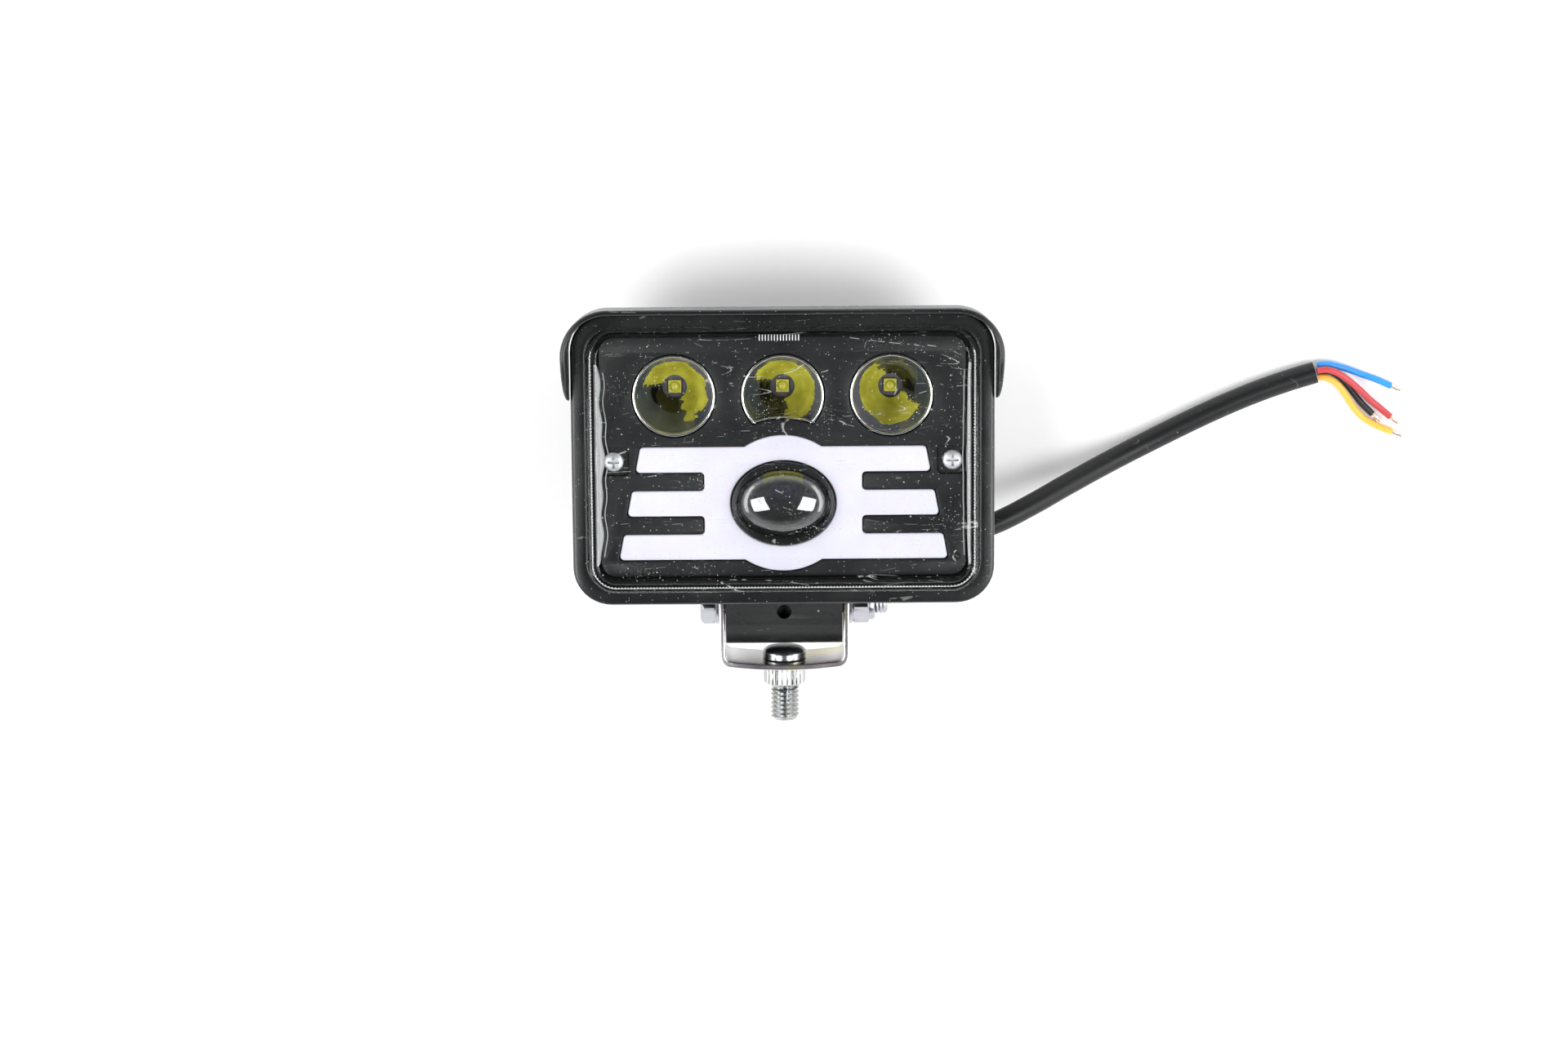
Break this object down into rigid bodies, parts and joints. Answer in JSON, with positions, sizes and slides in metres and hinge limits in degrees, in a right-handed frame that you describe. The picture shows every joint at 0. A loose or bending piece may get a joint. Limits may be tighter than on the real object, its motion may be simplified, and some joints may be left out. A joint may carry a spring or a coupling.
{
  "type": "fog light",
  "caption": "Rectangular LED fog light: finned housing, visor hood, clear lens over reflectors, light guide and projector, on a tilting U bracket with a threaded stud and pigtail cable",
  "frame": {"origin": "middle of the flat pad on the finned back", "axes": "+Z out through the lens, +Y towards the visor hood (up when mounted), +X to the right seen from the front; the mounting stud points along -Y"},
  "size_m": [0.2298, 0.1194, 0.053],
  "materials": {
    "painted_casting": "black powder coat, satin, fine grain",
    "gloss_black": "moulded black plastic, semi-gloss",
    "charcoal": "moulded charcoal plastic, semi-gloss",
    "clear_lens": "clear moulded polycarbonate",
    "silicone": "translucent grey silicone",
    "milky": "milky light-guide plastic, faint lavender",
    "chrome": "vacuum-metallised reflector",
    "phosphor": "yellow phosphor over a small chip",
    "aluminium": "plain machined or rolled",
    "circuit_board": "green solder mask",
    "thermal_pad": "soft grey-blue pad",
    "optical_glass": "polished projector lens",
    "zinc": "bright zinc plate, slightly iridescent",
    "black_rubber": "matte moulded rubber",
    "sheath": "smooth PVC jacket",
    "wire_blue": "smooth PVC insulation",
    "wire_red": "smooth PVC insulation",
    "wire_black": "smooth PVC insulation",
    "wire_yellow": "smooth PVC insulation",
    "tinned_copper": "tinned copper strands"
  },
  "bodies": {
    "lamp": {"rear_housing": "painted_casting", "front_bezel": "gloss_black", "visor_hood": "gloss_black", "front_lens": "clear_lens", "lens_seal": "silicone", "face_mask": "charcoal", "light_guide": "milky", "led_board": "aluminium", "thermal_pad": "thermal_pad", "lens_ring": "gloss_black", "projector_lens": "optical_glass", "projector_holder": "gloss_black", "projector_reflector": "chrome", "projector_led": "phosphor", "projector_heat_block": "aluminium", "guide_board": "circuit_board", "driver_board": "circuit_board", "inductor": "black_rubber", "capacitor": "aluminium", "driver_chip": "gloss_black", "mask_screw_left": "zinc", "mask_screw_right": "zinc", "cable_gland": "black_rubber", "cable_sheath": "sheath", "reflector_cup_left": "chrome", "led_emitter_left": "phosphor", "reflector_cup_middle": "chrome", "led_emitter_middle": "phosphor", "reflector_cup_right": "chrome", "led_emitter_right": "phosphor", "housing_screw_1": "zinc", "housing_screw_2": "zinc", "housing_screw_3": "zinc", "housing_screw_4": "zinc", "wire_blue": "wire_blue", "conductor_blue": "tinned_copper", "wire_red": "wire_red", "conductor_red": "tinned_copper", "wire_black": "wire_black", "conductor_black": "tinned_copper", "wire_yellow": "wire_yellow", "conductor_yellow": "tinned_copper"},
    "bracket": {"mounting_bracket": "zinc", "pivot_bolt": "zinc", "pivot_washer_left": "zinc", "pivot_washer_right": "zinc", "pivot_nut": "zinc"},
    "stud": {"stud_bolt": "zinc", "stud_nut": "zinc"}
  },
  "joints": [
    {"name": "bracket_tilt", "type": "hinge", "parent": "lamp", "child": "bracket", "pos_m": [0, -0.0448, 0.02], "axis": [1, 0, 0], "range_deg": [-60, 90]},
    {"name": "stud_swivel", "type": "hinge", "parent": "bracket", "child": "stud", "pos_m": [0, -0.065, 0.02], "axis": [0, 1, 0], "continuous": true}
  ]
}
